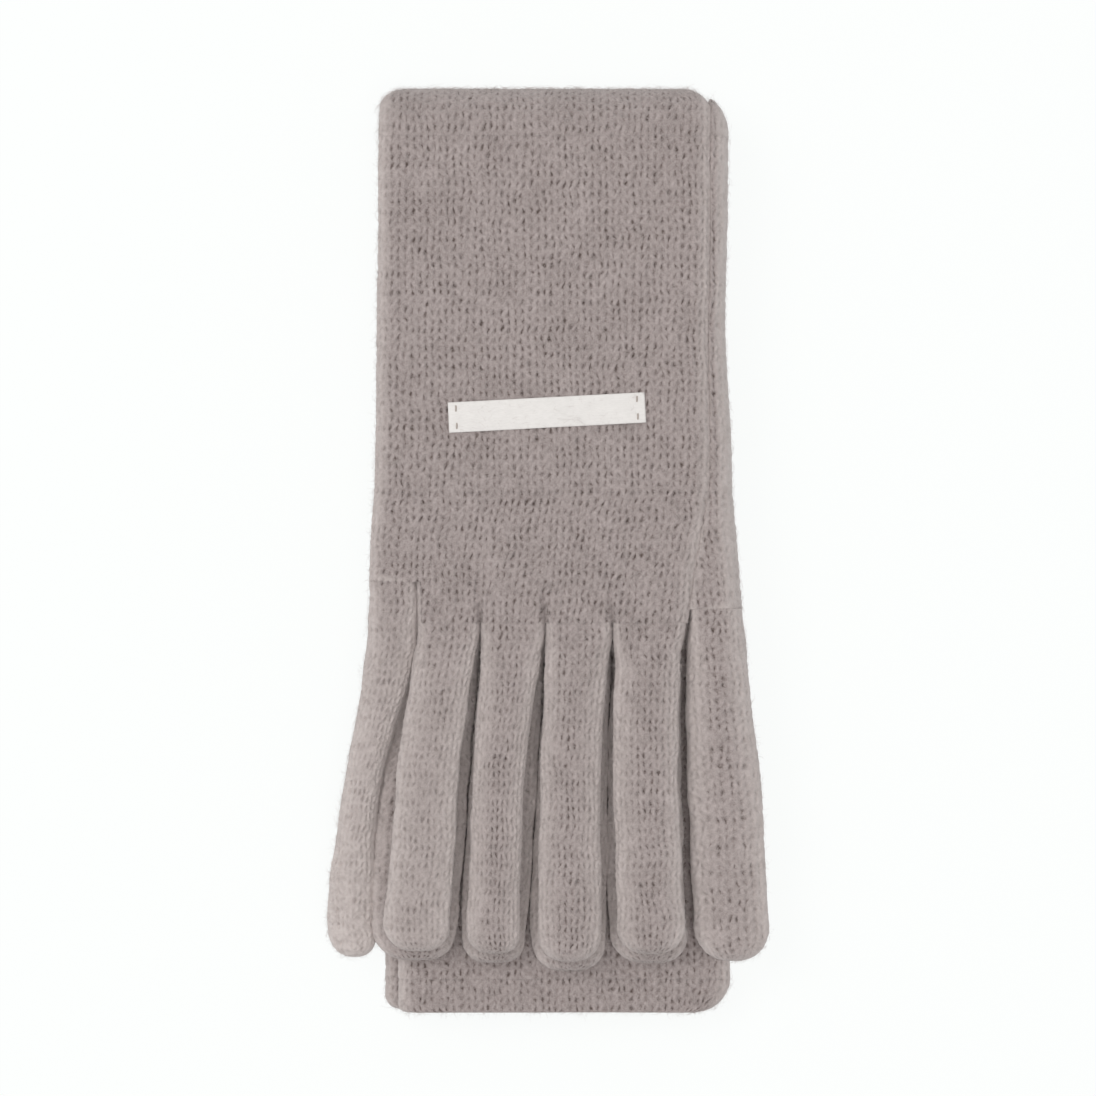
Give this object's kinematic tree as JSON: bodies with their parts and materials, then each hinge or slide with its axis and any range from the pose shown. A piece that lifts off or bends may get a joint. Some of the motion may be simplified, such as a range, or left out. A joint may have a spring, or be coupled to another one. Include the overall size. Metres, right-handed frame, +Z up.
{
  "type": "pair of long knitted gloves",
  "caption": "Long knitted gloves of a soft brushed yarn, laid together and folded in half, with a small blank woven label.",
  "frame": {"origin": "middle of the folded pair's outline, on the surface that it lies on", "axes": "+Z up, away from that surface; +Y along the gloves, from the fingertips to the fold; +X to the side of the right glove's thumb"},
  "size_m": [0.1115, 0.2354, 0.0281],
  "materials": {
    "knitted_yarn": "brushed, hairy stocking stitch, matt",
    "label_tape": "fine off-white woven tape",
    "label_thread": "off-white sewing thread"
  },
  "bodies": {
    "left_back": {"left_hem": "knitted_yarn", "left_sleeve_back": "knitted_yarn", "left_sleeve_fold": "knitted_yarn"},
    "left_front": {"left_sleeve_front": "knitted_yarn", "left_palm": "knitted_yarn", "woven_label": "label_tape", "woven_label_tacks": "label_thread"},
    "right_back": {"right_hem": "knitted_yarn", "right_sleeve_back": "knitted_yarn", "right_sleeve_fold": "knitted_yarn"},
    "right_front": {"right_sleeve_front": "knitted_yarn", "right_palm": "knitted_yarn"},
    "left_thumb_body": {"left_thumb": "knitted_yarn"},
    "left_index_finger_body": {"left_index_finger": "knitted_yarn"},
    "left_middle_finger_body": {"left_middle_finger": "knitted_yarn"},
    "left_ring_finger_body": {"left_ring_finger": "knitted_yarn"},
    "left_little_finger_body": {"left_little_finger": "knitted_yarn"},
    "right_thumb_body": {"right_thumb": "knitted_yarn"},
    "right_index_finger_body": {"right_index_finger": "knitted_yarn"},
    "right_middle_finger_body": {"right_middle_finger": "knitted_yarn"},
    "right_ring_finger_body": {"right_ring_finger": "knitted_yarn"},
    "right_little_finger_body": {"right_little_finger": "knitted_yarn"}
  },
  "joints": [
    {"name": "left_unfold", "type": "hinge", "parent": "left_back", "child": "left_front", "pos_m": [0, 0.1043, 0.0134], "axis": [-1, 0, 0], "range_deg": [0, 180], "deforming": ["left_sleeve_fold"]},
    {"name": "right_pull_out", "type": "slide", "parent": "left_back", "child": "right_back", "axis": [1, 0, 0], "range_m": [0, 0.1]},
    {"name": "right_unfold", "type": "hinge", "parent": "right_back", "child": "right_front", "pos_m": [0, 0.1043, 0.0134], "axis": [-1, 0, 0], "range_deg": [0, 180], "deforming": ["right_sleeve_fold"]},
    {"name": "left_thumb_bend", "type": "hinge", "parent": "left_front", "child": "left_thumb_body", "pos_m": [-0.03955, -0.0086, 0.0268], "axis": [1, 0, 0], "range_deg": [-80, 0]},
    {"name": "left_index_finger_bend", "type": "hinge", "parent": "left_front", "child": "left_index_finger_body", "pos_m": [-0.02515, -0.0191, 0.0268], "axis": [1, 0, 0], "range_deg": [-80, 0]},
    {"name": "left_middle_finger_bend", "type": "hinge", "parent": "left_front", "child": "left_middle_finger_body", "pos_m": [-0.00905, -0.0191, 0.0268], "axis": [1, 0, 0], "range_deg": [-80, 0]},
    {"name": "left_ring_finger_bend", "type": "hinge", "parent": "left_front", "child": "left_ring_finger_body", "pos_m": [0.0077, -0.0191, 0.0268], "axis": [1, 0, 0], "range_deg": [-80, 0]},
    {"name": "left_little_finger_bend", "type": "hinge", "parent": "left_front", "child": "left_little_finger_body", "pos_m": [0.02515, -0.0191, 0.0268], "axis": [1, 0, 0], "range_deg": [-80, 0]},
    {"name": "right_thumb_bend", "type": "hinge", "parent": "right_front", "child": "right_thumb_body", "pos_m": [0.04235, -0.0156, 0.0201], "axis": [1, 0, 0], "range_deg": [-80, 0]},
    {"name": "right_index_finger_bend", "type": "hinge", "parent": "right_front", "child": "right_index_finger_body", "pos_m": [0.02515, -0.0191, 0.0268], "axis": [1, 0, 0], "range_deg": [-80, 0]},
    {"name": "right_middle_finger_bend", "type": "hinge", "parent": "right_front", "child": "right_middle_finger_body", "pos_m": [0.0077, -0.0191, 0.0268], "axis": [1, 0, 0], "range_deg": [-80, 0]},
    {"name": "right_ring_finger_bend", "type": "hinge", "parent": "right_front", "child": "right_ring_finger_body", "pos_m": [-0.00905, -0.0191, 0.0268], "axis": [1, 0, 0], "range_deg": [-80, 0]},
    {"name": "right_little_finger_bend", "type": "hinge", "parent": "right_front", "child": "right_little_finger_body", "pos_m": [-0.02515, -0.0191, 0.0268], "axis": [1, 0, 0], "range_deg": [-80, 0]}
  ],
  "couplings": [
    {"joint": "right_unfold", "follows": "left_unfold", "ratio": 1},
    {"joint": "right_little_finger_bend", "follows": "left_index_finger_bend", "ratio": 1},
    {"joint": "right_ring_finger_bend", "follows": "left_middle_finger_bend", "ratio": 1},
    {"joint": "right_middle_finger_bend", "follows": "left_ring_finger_bend", "ratio": 1},
    {"joint": "right_index_finger_bend", "follows": "left_little_finger_bend", "ratio": 1}
  ]
}
